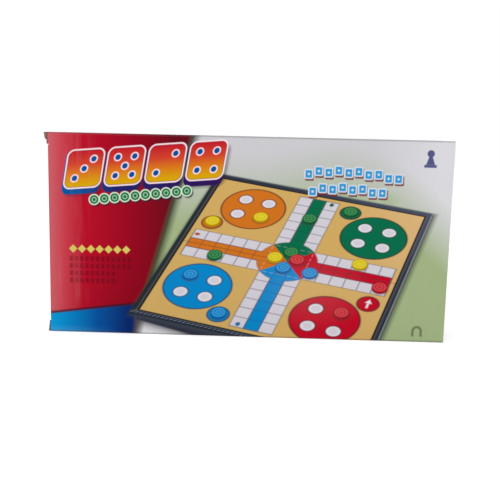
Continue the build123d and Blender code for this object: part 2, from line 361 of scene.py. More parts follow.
sleeve_print = Finish("sleeve_print", roughness=0.36, specular=0.05)
from_corner_y = abs(sleeve_print.y) - (HALF_DEPTH - LONG_CREASE)
from_corner_z = abs(sleeve_print.z - HEIGHT / 2) - (HEIGHT / 2 - LONG_CREASE)
depth_in = sleeve_print.radius(from_corner_y.most(0.0), from_corner_z.most(0.0)) - LONG_CREASE
depth_in = depth_in + from_corner_y.most(from_corner_z).least(0.0)
skin = depth_in > -LITHO_SHEET
in_board = depth_in > INNER_SKIN - BOARD
# the left lid's bead is on the front and the right lid's on the back, a half turn round
beyond = sleeve_print.x * sleeve_print.sum("SIGN", sleeve_print.y) - LID_BEAD_X
on_bead = sleeve_print.radius(beyond, abs(sleeve_print.y) - LID_BEAD_Y) > LID_BEAD - LITHO_SHEET
from_middle = abs(sleeve_print.z - HEIGHT / 2)
on_bead = on_bead * (beyond > -2 * EDGE_SLACK) * (from_middle < LID_HALF + EDGE_SLACK)
printed = skin.most(on_bead)
# beside the right lid the back panel shows its own ground, which is the front's turned round
turned = (sleeve_print.y > 0.0) * (from_middle < LID_NOTCH_HALF + EDGE_SLACK)
ground = carton_ground(sleeve_print, sleeve_print.x * (1.0 - turned * 2.0), sleeve_print.z)
varnish(sleeve_print, sleeve_print.paint(cut_edge(sleeve_print, in_board), ground, printed))
finish_node("carton_sleeve", sleeve_print)

lid_print = Finish("lid_print", roughness=0.36, specular=0.05)
# the lids take the red without the painted gloss reflection
lid_ground = carton_ground(lid_print, -HALF_WIDTH + lid_print.x * 0.0, lid_print.z, painted_gloss_haze=False)
outer_face = abs(lid_print.x) > LID_FACE - LITHO_SHEET
in_board = abs(lid_print.x) > LID_FACE + INNER_SKIN - BOARD
varnish(lid_print, lid_print.paint(cut_edge(lid_print, in_board), lid_ground, outer_face))
for side in ("left", "right"):
    finish_node(f"{side}_lid", lid_print)


# ------------------------------------------------------------------ front and back print
# The litho sheets of the two large panels, glued over the board and creased with it.  Each
# carries the picture of the open board, a row of leaning dice and rows of small counters.

CELL_TAN = ink(206, 168, 96)
CELL_WHITE = ink(208, 204, 213)
ORANGE_INK = ink(204, 112, 28)
GREEN_INK = ink(0, 106, 72)
BLUE_INK = ink(0, 132, 198)
RED_INK = ink(188, 4, 36)
LINE_INK = ink(46, 34, 42)

# places and sizes of the ludo pattern, in cells from the middle of the board
HOME_X, HOME_Y, HOME_RADIUS = 4.38, 5.03, 2.32
START_X, START_Y, START_RADIUS = 2.31, 2.43, 0.69
DISC_OUTLINE = 0.12
SPOT_STEP = 0.905
ARM_HALF, LANE_HALF, ARM_REACH = 1.5, 0.5, 7.5
FINISH_RADIUS = 2.13
ENTRY_PLACE = 7.2


def ludo_pattern(finish, u, v, fineness=1.0):
    """The ludo board in cells from its centre: four homes, four arms and the finish."""
    fine = 0.035 * fineness
    left, low = u < 0.0, v < 0.0
    same_sign = (u * v) > 0.0
    across, up = abs(u), abs(v)
    # turn every quarter of the board into the upper left one
    home_x = across + (up - across) * same_sign
    home_y = up + (across - up) * same_sign
    home_x = HOME_X - home_x
    home_y = home_y - HOME_Y
    right_inks = finish.paint(GREEN_INK, RED_INK, low)
    left_inks = finish.paint(ORANGE_INK, BLUE_INK, low)
    home_ink = finish.paint(right_inks, left_inks, left)
    colour = finish.paint(CELL_TAN, ink(204, 168, 100), finish.ramp(v, 4.0, -6.0) * 0.6)
    colour = finish.paint(colour, ink(216, 178, 124), finish.ramp(u + v * 0.4, 4.0, 10.0) * 0.8)
    home = finish.radius(home_x, home_y)
    start = finish.radius(home_x + START_X, home_y + START_Y)
    disc = home.least(start + (HOME_RADIUS - START_RADIUS)) - HOME_RADIUS
    outline_ink = finish.paint(home_ink, LINE_INK, 0.75)
    colour = finish.paint(colour, outline_ink, finish.within(disc - DISC_OUTLINE, fine))
    colour = finish.paint(colour, home_ink, finish.within(disc, fine))
    spot = finish.radius(abs(home_x) - SPOT_STEP, abs(home_y) - SPOT_STEP)
    colour = finish.paint(colour, outline_ink, finish.within(spot - 0.58, fine))
    colour = finish.paint(colour, ink(228, 226, 236), finish.within(spot - 0.48, fine))
    colour = finish.paint(colour, CELL_WHITE, finish.within(spot - 0.37, 2 * fine))
    # a white arrow on the starting circle points at the cell where its counters enter
    arrow_x, arrow_y = abs(home_x + START_X), home_y + START_Y
    shaft = (arrow_x - 0.07).most(abs(arrow_y - 0.12) - 0.3)
    point = (arrow_x - (arrow_y + 0.46) * 0.62).most(arrow_y + 0.08)
    colour = finish.paint(colour, ink(232, 226, 232), finish.within(shaft.least(point), fine))

    # arms of the cross: three lanes of six cells, the middle one in its colour
    along, lane = across.most(up), across.least(up)
    level = across > up
    side_inks = finish.paint(RED_INK, ORANGE_INK, left)
    end_inks = finish.paint(GREEN_INK, BLUE_INK, low)
    arm_ink = finish.paint(end_inks, side_inks, level)
    arm = (lane - ARM_HALF).most(along - ARM_REACH)
    colour = finish.paint(colour, LINE_INK, finish.within(arm - 0.05, fine) * 0.8)
    colour = finish.paint(colour, CELL_WHITE, finish.within(arm, fine))
    arrow = (lane - LANE_HALF).least(finish.radius(across, up) - FINISH_RADIUS).most(arm)
    rule = (along - LANE_HALF).to_nearest(1.0)
    rule = rule.least(abs(lane - LANE_HALF)).most(1.0 - finish.ramp(along, 1.45, ARM_HALF))
    cell_line = finish.within(rule - 0.03, fine) * finish.within(arm, fine)
    colour = finish.paint(colour, LINE_INK, cell_line * 0.78)
    colour = finish.paint(colour, arm_ink, finish.within(arrow, fine))
    lane_edge = finish.within(abs(arrow) - 0.035, fine)
    colour = finish.paint(colour, finish.paint(arm_ink, LINE_INK, 0.7), lane_edge * 0.75)
    # an oval of its colour marks the cell where each player enters
    entry = finish.radius(along - ENTRY_PLACE, (lane - 1.0) * 1.25)
    entry = entry + (1.0 - abs(level - same_sign))
    entry_ink = finish.paint(arm_ink, LINE_INK, 0.4)
    colour = finish.paint(colour, entry_ink, finish.within(entry - 0.2, fine))
    faint = finish.within(rule - 0.03, fine) * finish.within(lane - LANE_HALF, fine)
    faint = faint * finish.within(along - ARM_REACH, fine)
    colour = finish.paint(colour, ink(40, 30, 60), faint * 0.45)
    # white broken lines round the finish, and the fold between the two halves
    dash = abs(along - ARM_HALF).most(0.14 - (lane + 0.1).to_nearest(0.5))
    colour = finish.paint(colour, ink(225, 215, 215), finish.within(dash - 0.012, fine) * 0.42)
    fold = up.most(across - 7.9)
    return finish.paint(colour, ink(70, 45, 35), finish.within(fold - 0.03, fine) * 0.6)


COUNTER_FOOT, COUNTER_CROWN, COUNTER_CLIMB = 0.555, 0.5, 0.16
YELLOW_PLACES = ((-3.475, 4.125), (-6.69, 2.64), (-0.94, 0.09), (4.98, 1.12))
GREEN_PLACES = ((2.60, 6.73), (0.0, 5.04), (-0.02, 0.98), (-5.1, -0.96))
BLUE_PLACES = ((-5.935, -3.475), (-2.60, -6.65), (-0.03, -0.83), (1.95, -0.83))
RED_PLACES = ((5.285, -4.125), (7.0, -0.83), (0.66, 0.29))
PICTURED_COUNTERS = (
    (ink(220, 200, 22), ink(176, 140, 10), YELLOW_PLACES),
    (ink(32, 124, 66), ink(8, 82, 48), GREEN_PLACES),
    (ink(12, 138, 206), ink(4, 92, 160), BLUE_PLACES),
    (ink(200, 34, 52), ink(150, 12, 34), RED_PLACES),
)


def counter(finish, colour, u, v, place, face, rim):
    """A printed counter standing on the pictured board: shadow, rim and lit crown."""
    du, dv = u - place[0], v - place[1]
    shadow = finish.radius(du - 0.04, dv + 0.1)
    colour = finish.paint(colour, ink(60, 40, 20), finish.within(shadow - 0.55, 0.14) * 0.5)
    # the crown stands straight above the foot, which is up and a little left on the board
    climb = (dv * 1.25 - du * 0.4).most(0.0).least(COUNTER_CLIMB)
    body = finish.radius(du + climb * 0.3, dv - climb)
    colour = finish.paint(colour, rim, finish.within(body - COUNTER_FOOT, 0.05))
    crown = finish.radius(du + 0.05, dv - COUNTER_CLIMB)
    colour = finish.paint(colour, face, finish.within(crown - COUNTER_CROWN, 0.05))
    ring = (abs(crown - 0.38) - 0.02).least(abs(crown - 0.18) - 0.02)
    colour = finish.paint(colour, ink(226, 232, 190), finish.within(ring, 0.05) * 0.14)
    groove = finish.within(abs(crown - 0.29) - 0.02, 0.05)
    return finish.paint(colour, rim, groove * 0.5)


# reaches in cells from the middle, and where the corners of the pictured board's frame lie on
# the panel, from the near left one round; the near right one is cropped away with the foot
FRAME_REACH, FRAME_INNER, PATTERN_REACH = 8.42, 7.95, 7.85
FRAME_CORNERS = ((-77.29, 14.05), (81.69, -17.43), (118.96, 84.76), (-19.21, 107.27))
WALL_START_X, WALL_START_Z, WALL_FALL = -70.4, 9.7, 0.262


def seen_in_perspective(corners, reach):
    """Matrix from a place on the panel to cells from the board's middle, before the division."""
    near_left, near_right, far_right, far_left = (Vector(corner) for corner in corners)
    right = near_right - far_right
    left = far_left - far_right
    skew = near_left - near_right + far_right - far_left
    spread = right.x * left.y - left.x * right.y
    across = (skew.x * left.y - left.x * skew.y) / spread
    away = (right.x * skew.y - skew.x * right.y) / spread
    along_near = near_right - near_left + across * near_right
    along_side = far_left - near_left + away * far_left
    from_square = Matrix((
        (along_near.x, along_side.x, near_left.x),
        (along_near.y, along_side.y, near_left.y),
        (across, away, 1.0),
    ))
    to_cells = Matrix(((2 * reach, 0.0, -reach), (0.0, 2 * reach, -reach), (0.0, 0.0, 1.0)))
    return to_cells @ from_square.inverted()


def board_frame(finish, colour, u, v, flat):
    """Dark mitred frame of the pictured board, with paler bevels and a twisted bead."""
    upper = v + u * 0.6
    frame_ink = finish.blend(
        upper,
        (-6.0, ink(34, 42, 54)),
        (6.0, ink(44, 50, 62)),
        (13.0, ink(72, 76, 94)),
    )
    frame_ink = finish.paint(frame_ink, ink(34, 44, 48), finish.ramp(u, -7.9, -8.2))
    colour = finish.paint(colour, frame_ink, finish.within(flat - FRAME_REACH, 0.06))
    # mitred frame: paler bevels on its outer edge and along its beads
    right_rim = abs(u - 8.34).most(abs(v) - FRAME_REACH) - 0.035
    colour = finish.paint(colour, ink(158, 166, 170), finish.within(right_rim, 0.05) * 0.8)
    right_face = abs(u - 8.04).most(abs(v) - 8.1) - 0.03
    colour = finish.paint(colour, ink(112, 108, 112), finish.within(right_face, 0.1) * 0.55)
    left_face = abs(u + 8.07).most(abs(v) - 8.1) - 0.02
    colour = finish.paint(colour, ink(104, 96, 98), finish.within(left_face, 0.09) * 0.75)
    top_rim = abs(v - 8.36).most(abs(u) - 8.3) - 0.03
    colour = finish.paint(colour, ink(104, 116, 124), finish.within(top_rim, 0.1) * 0.6)
    twist = finish.sum("SINE", u * 20.0 - v * 22.0)
    bead_face = abs(v + 8.16).most(abs(u) - 8.36) - 0.05
    bead_light = finish.within(bead_face, 0.08) * finish.ramp(twist, -0.6, 0.9)
    colour = finish.paint(colour, ink(140, 146, 166), bead_light * 0.8)
    ledge = abs(v + 7.99).most(abs(u) - 8.2) - 0.02
    colour = finish.paint(colour, ink(104, 120, 128), finish.within(ledge, 0.05) * 0.7)
    return finish.paint(colour, ink(14, 14, 18), finish.within(flat - FRAME_INNER, 0.04))


def board_picture(finish, colour, x, z):
    """The open board seen from one corner, with its frame, its beaded side and its shadow."""
    to_u, to_v, to_depth = seen_in_perspective(FRAME_CORNERS, FRAME_REACH)
    depth = x * to_depth[0] + z * to_depth[1] + to_depth[2]
    u = (x * to_u[0] + z * to_u[1] + to_u[2]) / depth
    v = (x * to_v[0] + z * to_v[1] + to_v[2]) / depth
    flat = abs(u).most(abs(v))
    cast = abs(u - 0.1).most(abs(v + 0.15)) - 8.4
    colour = finish.paint(colour, ink(48, 58, 56), finish.ramp(cast, 0.35, -0.05) * 0.75)
    # near side of the board: bead under the edge, then the wall growing towards the right
    wall_line = WALL_START_Z - (x - WALL_START_X) * WALL_FALL - z
    wall = (v + 8.2).most(wall_line).most(-x - 72.5)
    low_shade = finish.ramp(wall_line, 8.0, -0.5) * finish.within(v + 8.2, 0.3)
    low_shade = low_shade * finish.ramp(x, -76.0, -72.0)
    colour = finish.paint(colour, ink(72, 70, 82), low_shade * low_shade)
    wall_ink = finish.blend(v, (-8.9, ink(46, 48, 64)), (-8.4, ink(52, 66, 78)))
    colour = finish.paint(colour, wall_ink, finish.within(wall, 0.6))
    colour = board_frame(finish, colour, u, v, flat)
    pattern = ludo_pattern(finish, u, v, 1.6)
    for face, rim, places in PICTURED_COUNTERS:
        for place in places:
            pattern = counter(finish, pattern, u, v, place, face, rim)
    glare = finish.ramp(finish.radius(u - 2.6, v + 2.4), 4.2, 0.8)
    pattern = finish.paint(pattern, ink(255, 232, 232), glare * 0.035)
    return finish.paint(colour, pattern, finish.within(flat - PATTERN_REACH, 0.04))


def rounded(finish, across, up, straight_across, straight_up, corner):
    """Signed distance to a rectangle with these half lengths of straight side and corner radius."""
    past_side = (abs(across) - straight_across).most(0.0)
    past_end = (abs(up) - straight_up).most(0.0)
    return finish.radius(past_side, past_end) - corner


DICE_ROW_X, DICE_ROW_Z = -66.5, 111.8
DICE_RISE = 0.09
DICE_SLANT = 0.26
COUNTER_ROW_BELOW, COUNTER_ROW_RISE = 19.4, 0.028


def dice_row(finish, colour, x, z):
    """Four leaning dice on a rising line, shaded from red to amber, over a row of counters."""
    s = (x - DICE_ROW_X) * cos(DICE_RISE) + (z - DICE_ROW_Z) * sin(DICE_RISE)
    t = (z - DICE_ROW_Z) * cos(DICE_RISE) - (x - DICE_ROW_X) * sin(DICE_RISE)
    pitch = 26.4
    lean = s - t * DICE_SLANT
    number = (lean / pitch + 2.0).floor().most(0.0).least(3.0)
    lean = lean - (number - 1.5) * pitch
    drop = rounded(finish, lean - 1.6, t + 3.6, 7.6, 8.4, 4.6)
    colour = finish.paint(colour, ink(52, 34, 56), finish.within(drop - 0.6, 1.1) * 0.55)
    block = rounded(finish, lean + 0.5, t + 2.0, 7.8, 9.2, 4.8)
    navy = finish.blend(
        s,
        (-48.0, ink(0, 84, 154)),
        (-22.0, ink(28, 34, 104)),
        (24.0, ink(44, 16, 86)),
    )
    colour = finish.paint(colour, navy, finish.within(block))
    face = rounded(finish, lean, t, 7.6, 7.8, 4.8)
    colour = finish.paint(colour, ink(246, 222, 228), finish.within(face))
    warm = finish.blend(
        t,
        (-10.0, ink(212, 162, 0)),
        (-3.0, ink(214, 118, 22)),
        (3.0, ink(206, 64, 40)),
        (11.0, ink(190, 24, 40)),
    )
    colour = finish.paint(colour, ink(96, 30, 30), finish.within(face + 0.95))
    colour = finish.paint(colour, warm, finish.within(face + 1.25))
    # pips: three, five, two and four
    corner = finish.radius(abs(lean) - 5.4, abs(t) - 5.8)
    falling = (lean * t) < 0.0
    four = (finish.sum("MODULO", number, 2.0) > 0.5).most(1.0 - falling)
    odd = number < 1.5
    pip = (corner + (1.0 - four) * 9.0).least(finish.radius(lean, t) + (1.0 - odd) * 9.0)
    colour = finish.paint(colour, ink(246, 222, 228), finish.within(pip - 2.6))
    colour = finish.paint(colour, ink(0, 78, 150), finish.within(pip - 1.8))

    row_s = s + 5.0
    row_t = t + COUNTER_ROW_BELOW - row_s * COUNTER_ROW_RISE
    step = 6.7
    nearest = (row_s / step).floor().most(-5.0).least(4.0) + 0.5
    ds = row_s - nearest * step
    drop = finish.radius(ds - 0.8, row_t + 1.2)
    colour = finish.paint(colour, ink(20, 24, 48), finish.within(drop - 3.5, 0.5) * 0.85)
    disc = finish.radius(ds, row_t)
    colour = finish.paint(colour, ink(214, 232, 214), finish.within(disc - 3.6))
    colour = finish.paint(colour, ink(10, 112, 54), finish.within(disc - 2.85))
    return finish.paint(colour, ink(190, 220, 196), finish.within(abs(disc - 1.35) - 0.28) * 0.8)


DIAMOND_ROW_X, DIAMOND_ROW_Z = -96.3, 56.1
TRACK_X, TRACK_Z = -96.0, 42.4
TRACK_SHORT_BY = 4.6


def diamonds_and_arches(finish, colour, x, z):
    """Yellow diamonds over a dark track on the red field, and two arched rows of blue dice."""
    step = 5.8
    nearest = ((x - DIAMOND_ROW_X) / step).most(-3.4).least(3.4)
    nearest = (nearest + 0.5).floor()
    diamond = abs(x - DIAMOND_ROW_X - nearest * step) + abs(z - DIAMOND_ROW_Z) - 2.7
    colour = finish.paint(colour, ink(212, 196, 96), finish.within(diamond, 0.3))
    # the lower two of the four rows of squares are shorter
    shorter = (z < TRACK_Z) * TRACK_SHORT_BY
    in_x = abs(x - TRACK_X + shorter) - 20.8 + shorter
    in_z = abs(z - TRACK_Z) - 9.6
    cell = (x - TRACK_X).to_nearest(3.46).least((z - TRACK_Z).to_nearest(4.8) * 0.8)
    track = in_x.most(in_z).most(0.62 - cell)
    colour = finish.paint(colour, ink(88, 0, 20), finish.within(track, 0.4) * 0.5)

    # small blue dice, each showing a one, stepped up and down along the two arches
    arches = ((38.2, 10, 58.0, 110.3, 0.0033), (41.0, 8, 60.0, 99.6, 0.0048))
    pace = 6.35
    for first, count, middle, level, sag in arches:
        nearest = ((x - first) / pace + 0.5).floor().most(0.0).least(count - 1.0)
        centre = nearest * pace + first
        step_up = finish.sum("MODULO", nearest, 2.0) * 1.3 - 0.65
        ds = x - centre
        dt = z - level - step_up + (centre - middle) * (centre - middle) * sag
        drop = rounded(finish, ds - 0.6, dt + 1.1, 1.9, 2.2, 1.1)
        colour = finish.paint(colour, ink(110, 34, 44), finish.within(drop, 0.35) * 0.9)
        body = rounded(finish, ds, dt, 1.7, 2.0, 1.15)
        colour = finish.paint(colour, ink(214, 222, 236), finish.within(body, 0.3))
        colour = finish.paint(colour, ink(50, 148, 206), finish.within(body + 0.75, 0.3))
        pip = finish.radius(ds, dt) - 0.75
        colour = finish.paint(colour, ink(206, 226, 240), finish.within(pip, 0.3))
    return colour


PAWN_X, PAWN_Z = 115.0, 119.6
MAGNET_X, MAGNET_Z = 112.3, 7.4


def small_devices(finish, colour, x, z):
    """A plain pawn at the upper right and a horseshoe magnet at the lower right."""
    px, pz = x - PAWN_X, z - PAWN_Z
    head = finish.radius(px, pz - 3.3) - 2.3
    waist = abs(px) - 1.1 - (1.5 - pz) * 0.33
    body = waist.most(pz - 3.0).most(-pz - 4.0)
    base = (abs(px) - 3.9).most(abs(pz + 4.6) - 0.9)
    pawn = head.least(body).least(base)
    colour = finish.paint(colour, ink(40, 46, 116), finish.within(pawn, 0.3) * 0.9)
    mx, mz = x - MAGNET_X, z - MAGNET_Z
    bend = finish.radius(mx, mz.most(0.0))
    magnet = (abs(bend - 2.7) - 0.8).most(-mz - 3.6)
    return finish.paint(colour, ink(96, 108, 82), finish.within(magnet, 0.3) * 0.85)


panel_print = Finish("panel_print", roughness=0.36, specular=0.05)
seen = panel_print.sum("SIGN", panel_print.y) * -1.0
panel_x = panel_print.x * seen
panel_z = panel_print.z
# past the middle of a long crease the sheet carries the ground of the top or bottom panel
wrapped = abs(panel_print.y) < HALF_DEPTH - 0.3 * LONG_CREASE
ground_x = panel_print.x * (seen + (1.0 - seen) * wrapped)
picture = carton_ground(panel_print, ground_x, panel_z)
picture = board_picture(panel_print, picture, panel_x, panel_z)
picture = dice_row(panel_print, picture, panel_x, panel_z)
picture = diamonds_and_arches(panel_print, picture, panel_x, panel_z)
picture = small_devices(panel_print, picture, panel_x, panel_z)
# the ends of the ears beside a lid are painted a dark grey-brown
on_ear = abs(panel_z - HEIGHT / 2) > LID_NOTCH_HALF - 2 * EDGE_SLACK
on_ear = on_ear * panel_print.ramp(panel_x, -129.2, -129.5)
picture = panel_print.paint(picture, EAR_END_DARK, on_ear * 0.85)
varnish(panel_print, picture)

SHEET_LIFT = 0.06
LID_ZONE = (HEIGHT / 2 - LID_NOTCH_HALF, HEIGHT / 2 + LID_NOTCH_HALF)
LID_ROOM = 127.85
CREASE_STEPS = 6
WRAP_TAIL = 2.0
SAME_LEVEL = 0.1


def piece(name, bm, finish, body):
    """Turn a finished bmesh, in millimetres, into a scene piece that rides on a body."""
    bmesh.ops.scale(bm, vec=(MM, MM, MM), verts=bm.verts)
    mesh = bpy.data.meshes.new(name)
    bm.to_mesh(mesh)
    bm.free()
    mesh.materials.append(finish.material)
    made = bpy.data.objects.new(name, mesh)
    bpy.context.scene.collection.objects.link(made)
    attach(made, body)
    return made


def cut_across(bm, place, direction):
    """Cut a mesh in two along a plane, without parting it."""
    everything = bm.verts[:] + bm.edges[:] + bm.faces[:]
    bmesh.ops.bisect_plane(bm, geom=everything, plane_co=place, plane_no=direction)


def litho_sheet(name, turn):
    """Printed skin of one large panel, wrapped a little way over its two long creases."""
    bm = bmesh.new()
    bmesh.ops.create_grid(bm, x_segments=1, y_segments=1, size=1.0)
    flat_half = HEIGHT / 2 - LONG_CREASE
    bmesh.ops.transform(
        bm,
        verts=bm.verts,
        matrix=Matrix.Translation((0, -HALF_DEPTH - SHEET_LIFT, HEIGHT / 2))
        @ Matrix.Rotation(radians(90), 4, "X")
        @ Matrix.Diagonal((HALF_WIDTH, flat_half, 1, 1)),
    )
    # the sheet stops short of the lid's crease, so that the open lid has room beside it
    for level in LID_ZONE:
        cut_across(bm, (0, 0, level), (0, 0, 1))
    cut_across(bm, (-LID_ROOM, 0, 0), (1, 0, 0))
    notch = []
    for face in bm.faces:
        middle = face.calc_center_median()
        if middle.x < -LID_ROOM and LID_ZONE[0] < middle.z < LID_ZONE[1]:
            notch.append(face)
    bmesh.ops.delete(bm, geom=notch, context="FACES")
    for crease_z, turning in ((HEIGHT - LONG_CREASE, -1), (LONG_CREASE, 1)):
        rim = [e for e in bm.edges if all(abs(v.co.z - crease_z) < SAME_LEVEL for v in e.verts)]
        spun = bmesh.ops.spin(
            bm, geom=rim, cent=(0, LONG_CREASE - HALF_DEPTH, crease_z), axis=(turning, 0, 0),
            angle=radians(90), steps=CREASE_STEPS, use_duplicate=False,
        )
        last = [g for g in spun["geom_last"] if isinstance(g, bmesh.types.BMEdge)]
        grown = bmesh.ops.extrude_edge_only(bm, edges=last)
        moved = [g for g in grown["geom"] if isinstance(g, bmesh.types.BMVert)]
        bmesh.ops.translate(bm, verts=moved, vec=(0, WRAP_TAIL, 0))
    bmesh.ops.rotate(bm, verts=bm.verts, cent=(0, 0, 0), matrix=Matrix.Rotation(turn, 3, "Z"))
    bmesh.ops.recalc_face_normals(bm, faces=bm.faces)
    sheet = piece(name, bm, panel_print, "carton")


litho_sheet("front_print", 0.0)
litho_sheet("back_print", pi)


# ------------------------------------------------------------------ creases of the tongues
# Each lid folds into its tongue round a bead of its own thickness.  The web of softened board
# between them hugs the bead and turns with the tongue, so the fold stays closed as it opens.

TONGUE_TILT = radians(12.5)
TONGUE_ROOT = 1.1
TONGUE_LEVELS = (11.0, 120.0)
WEB_BORE = 0.77
ARC_STEPS = 6

fold_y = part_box("left_lid")[1][1] / MM - LID_BEAD
for side, turn in (("left", 0.0), ("right", pi)):
    # section of the web, along the tongue and out from its middle: a flat back, and a hollow
    # front that follows the bead and then clears the inner face of the lid
    arc_start = asin(BOARD / 2 / WEB_BORE)
    outline = []
    for step in range(ARC_STEPS + 1):
        angle = arc_start + (TONGUE_TILT - arc_start) * step / ARC_STEPS
        outline.append((WEB_BORE * cos(angle), WEB_BORE * sin(angle)))
    inner_reach = (WEB_BORE + BOARD / 2 * sin(TONGUE_TILT)) / cos(TONGUE_TILT)
    outline += [(inner_reach, -BOARD / 2), (TONGUE_ROOT, -BOARD / 2), (TONGUE_ROOT, BOARD / 2)]
    bm = bmesh.new()
    section = bm.faces.new([bm.verts.new((along, out, 0.0)) for along, out in outline])
    grown = bmesh.ops.extrude_face_region(bm, geom=[section])
    top = [g for g in grown["geom"] if isinstance(g, bmesh.types.BMVert)]
    bmesh.ops.translate(bm, verts=top, vec=(0, 0, TONGUE_LEVELS[1] - TONGUE_LEVELS[0]))
    bmesh.ops.transform(
        bm,
        verts=bm.verts,
        matrix=Matrix.Rotation(turn, 4, "Z")
        @ Matrix.Translation((-LID_BEAD_X, fold_y, TONGUE_LEVELS[0]))
        @ Matrix.Rotation(-TONGUE_TILT, 4, "Z"),
    )
    bmesh.ops.recalc_face_normals(bm, faces=bm.faces)
    web = piece(f"{side}_tongue_web", bm, lining, f"{side}_tongue")


# ------------------------------------------------------------------ board case
# Two halves moulded in slate-blue plastic with a fine spark-eroded texture, play side out.
# They turn on knuckles with drawn steel pins, and a sprung clasp holds the opposite edge.

case_plastic = Finish("case_plastic", roughness=0.5, specular=0.4)
cloud = case_plastic.noise(40.0, detail=3.0)
case_plastic.colour(case_plastic.paint(ink(38, 52, 68), ink(52, 68, 86), cloud))
case_plastic.rough(case_plastic.ramp(case_plastic.noise(3.0), 0.3, 0.7) * 0.16 + 0.42)
case_plastic.bump(case_plastic.noise(0.25, detail=2.0), 0.03)
finish_node("case_half_front", case_plastic)
finish_node("case_half_back", case_plastic)

clasp_plastic = Finish("clasp_plastic", roughness=0.3)
flow = clasp_plastic.noise(9.0, stretch=(4.0, 1.0, 1.0))
clasp_plastic.colour(clasp_plastic.paint(ink(196, 201, 206), ink(176, 182, 189), flow))
clasp_plastic.bump(clasp_plastic.noise(0.6), 0.01)
finish_node("case_clasp", clasp_plastic)

bright_steel = Finish("bright_steel", roughness=0.28, metallic=1.0)
drawn = bright_steel.noise(0.12, detail=2.0, stretch=(60.0, 1.0, 1.0))
bright_steel.colour(bright_steel.paint(ink(186, 189, 193), ink(208, 210, 213), drawn))
bright_steel.rough(bright_steel.ramp(drawn, 0.3, 0.7) * 0.14 + 0.22)
bright_steel.bump(drawn, 0.006)
for name in ("hinge_pin_left", "hinge_pin_right", "steel_plate_front", "steel_plate_back"):
    finish_node(name, bright_steel)


# ------------------------------------------------------------------ play sheets
# Printed film over the steel, one half of the board on each case half.  Unfolded about the
# pins, the two halves make the whole board, fifteen cells across inside its border.

CELL = 15.0
HINGE_LEVEL = 126.7
play_print = Finish("play_print", roughness=0.34, specular=0.4)
away = (HINGE_LEVEL - play_print.z) / CELL
play_v = away * play_print.sum("SIGN", play_print.y)
pattern = ludo_pattern(play_print, play_print.x / CELL, play_v)
screen = play_print.noise(0.9, detail=2.0)
bare_dots = play_print.ramp(screen, 0.55, 0.9) * 0.08
play_print.colour(play_print.paint(pattern, ink(255, 250, 240), bare_dots))
play_print.rough(play_print.ramp(play_print.noise(22.0), 0.3, 0.7) * 0.1 + 0.28)
play_print.bump(play_print.noise(6.0), 0.02)
finish_node("play_sheet_front", play_print)
finish_node("play_sheet_back", play_print)


# ------------------------------------------------------------------ storage tray
# Vacuum-formed from thin white sheet: a trough for each colour's counters and a well for the
# die, with the slightly hazy gloss of stretched polystyrene.

tray_plastic = Finish("tray_plastic", roughness=0.35, specular=0.45)
haze = tray_plastic.noise(12.0, detail=3.0)
tray_plastic.colour(tray_plastic.paint(ink(232, 231, 226), ink(218, 218, 214), haze))
tray_plastic.rough(tray_plastic.ramp(haze, 0.3, 0.7) * 0.15 + 0.27)
tray_plastic.bump(tray_plastic.noise(2.5), 0.02)
finish_node("storage_tray", tray_plastic)


# ------------------------------------------------------------------ counters
# Injection-moulded discs with a rolled shoulder, a ringed crown and a hollow foot, into which
# a square of magnetic rubber sheet is pressed.  Four of each colour.

TOKEN_PROFILE = (
    (0.0, 1.6), (5.1, 1.6), (5.1, 0.0), (6.25, 0.0), (6.5, 0.25), (6.5, 2.3), (6.3, 2.75),
    (5.75, 3.1), (5.45, 3.5), (5.3, 4.4), (5.0, 4.85), (4.6, 5.0), (3.7, 5.0), (3.4, 4.7),
    (2.9, 4.6), (2.4, 4.7), (2.1, 4.95), (1.2, 5.0), (0.0, 5.0),
)
SPIN_STEPS = 40
TOKEN_INKS = {
    "red": (ink(200, 22, 42), ink(168, 10, 30)),
    "yellow": (ink(230, 206, 22), ink(206, 174, 8)),
    "green": (ink(34, 132, 62), ink(14, 100, 46)),
    "blue": (ink(16, 126, 200), ink(6, 92, 166)),
}

rubber = Finish("magnetic_rubber", roughness=0.8, specular=0.3)
specks = rubber.noise(0.3, detail=3.0)
rubber.colour(rubber.paint(ink(52, 50, 50), ink(84, 80, 78), rubber.ramp(specks, 0.4, 0.75)))
rubber.bump(specks, 0.02)

for colour_name, (bright, deep) in TOKEN_INKS.items():
    token_plastic = Finish(f"{colour_name}_plastic", roughness=0.28)
    swirl = token_plastic.noise(7.0, detail=3.0)
    token_plastic.colour(token_plastic.paint(bright, deep, token_plastic.ramp(swirl, 0.35, 0.75)))
    token_plastic.rough(token_plastic.ramp(token_plastic.noise(1.5), 0.3, 0.7) * 0.12 + 0.22)
    token_plastic.bump(token_plastic.noise(0.8), 0.012)
    for number in range(1, 5):
        cad_name = f"{colour_name}_token_{number}"
        low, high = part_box(cad_name)
        foot = Vector(((low[0] + high[0]) / 2, high[1], (low[2] + high[2]) / 2)) / MM
        bm = bmesh.new()
        rim = [bm.verts.new((radius, 0.0, height)) for radius, height in TOKEN_PROFILE]
        edges = [bm.edges.new(pair) for pair in zip(rim, rim[1:])]
        bmesh.ops.spin(
            bm, geom=rim + edges, cent=(0, 0, 0), axis=(0, 0, 1), angle=2 * pi,
            steps=SPIN_STEPS, use_merge=True, use_duplicate=False,
        )
        bmesh.ops.remove_doubles(bm, verts=bm.verts, dist=0.001)
        bmesh.ops.recalc_face_normals(bm, faces=bm.faces)
        upright = Matrix.Rotation(radians(90), 4, "X")
        bmesh.ops.transform(bm, verts=bm.verts, matrix=Matrix.Translation(foot) @ upright)
        token = piece(f"{colour_name}_counter_{number}", bm, token_plastic, "carton")
        token.data.shade_smooth()
        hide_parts(cad_name)
    finish_node(f"{colour_name}_token_magnets", rubber)


# ------------------------------------------------------------------ die
# A moulded white cube with rounded corners and sunk pips filled with black, opposite faces
# adding up to seven.

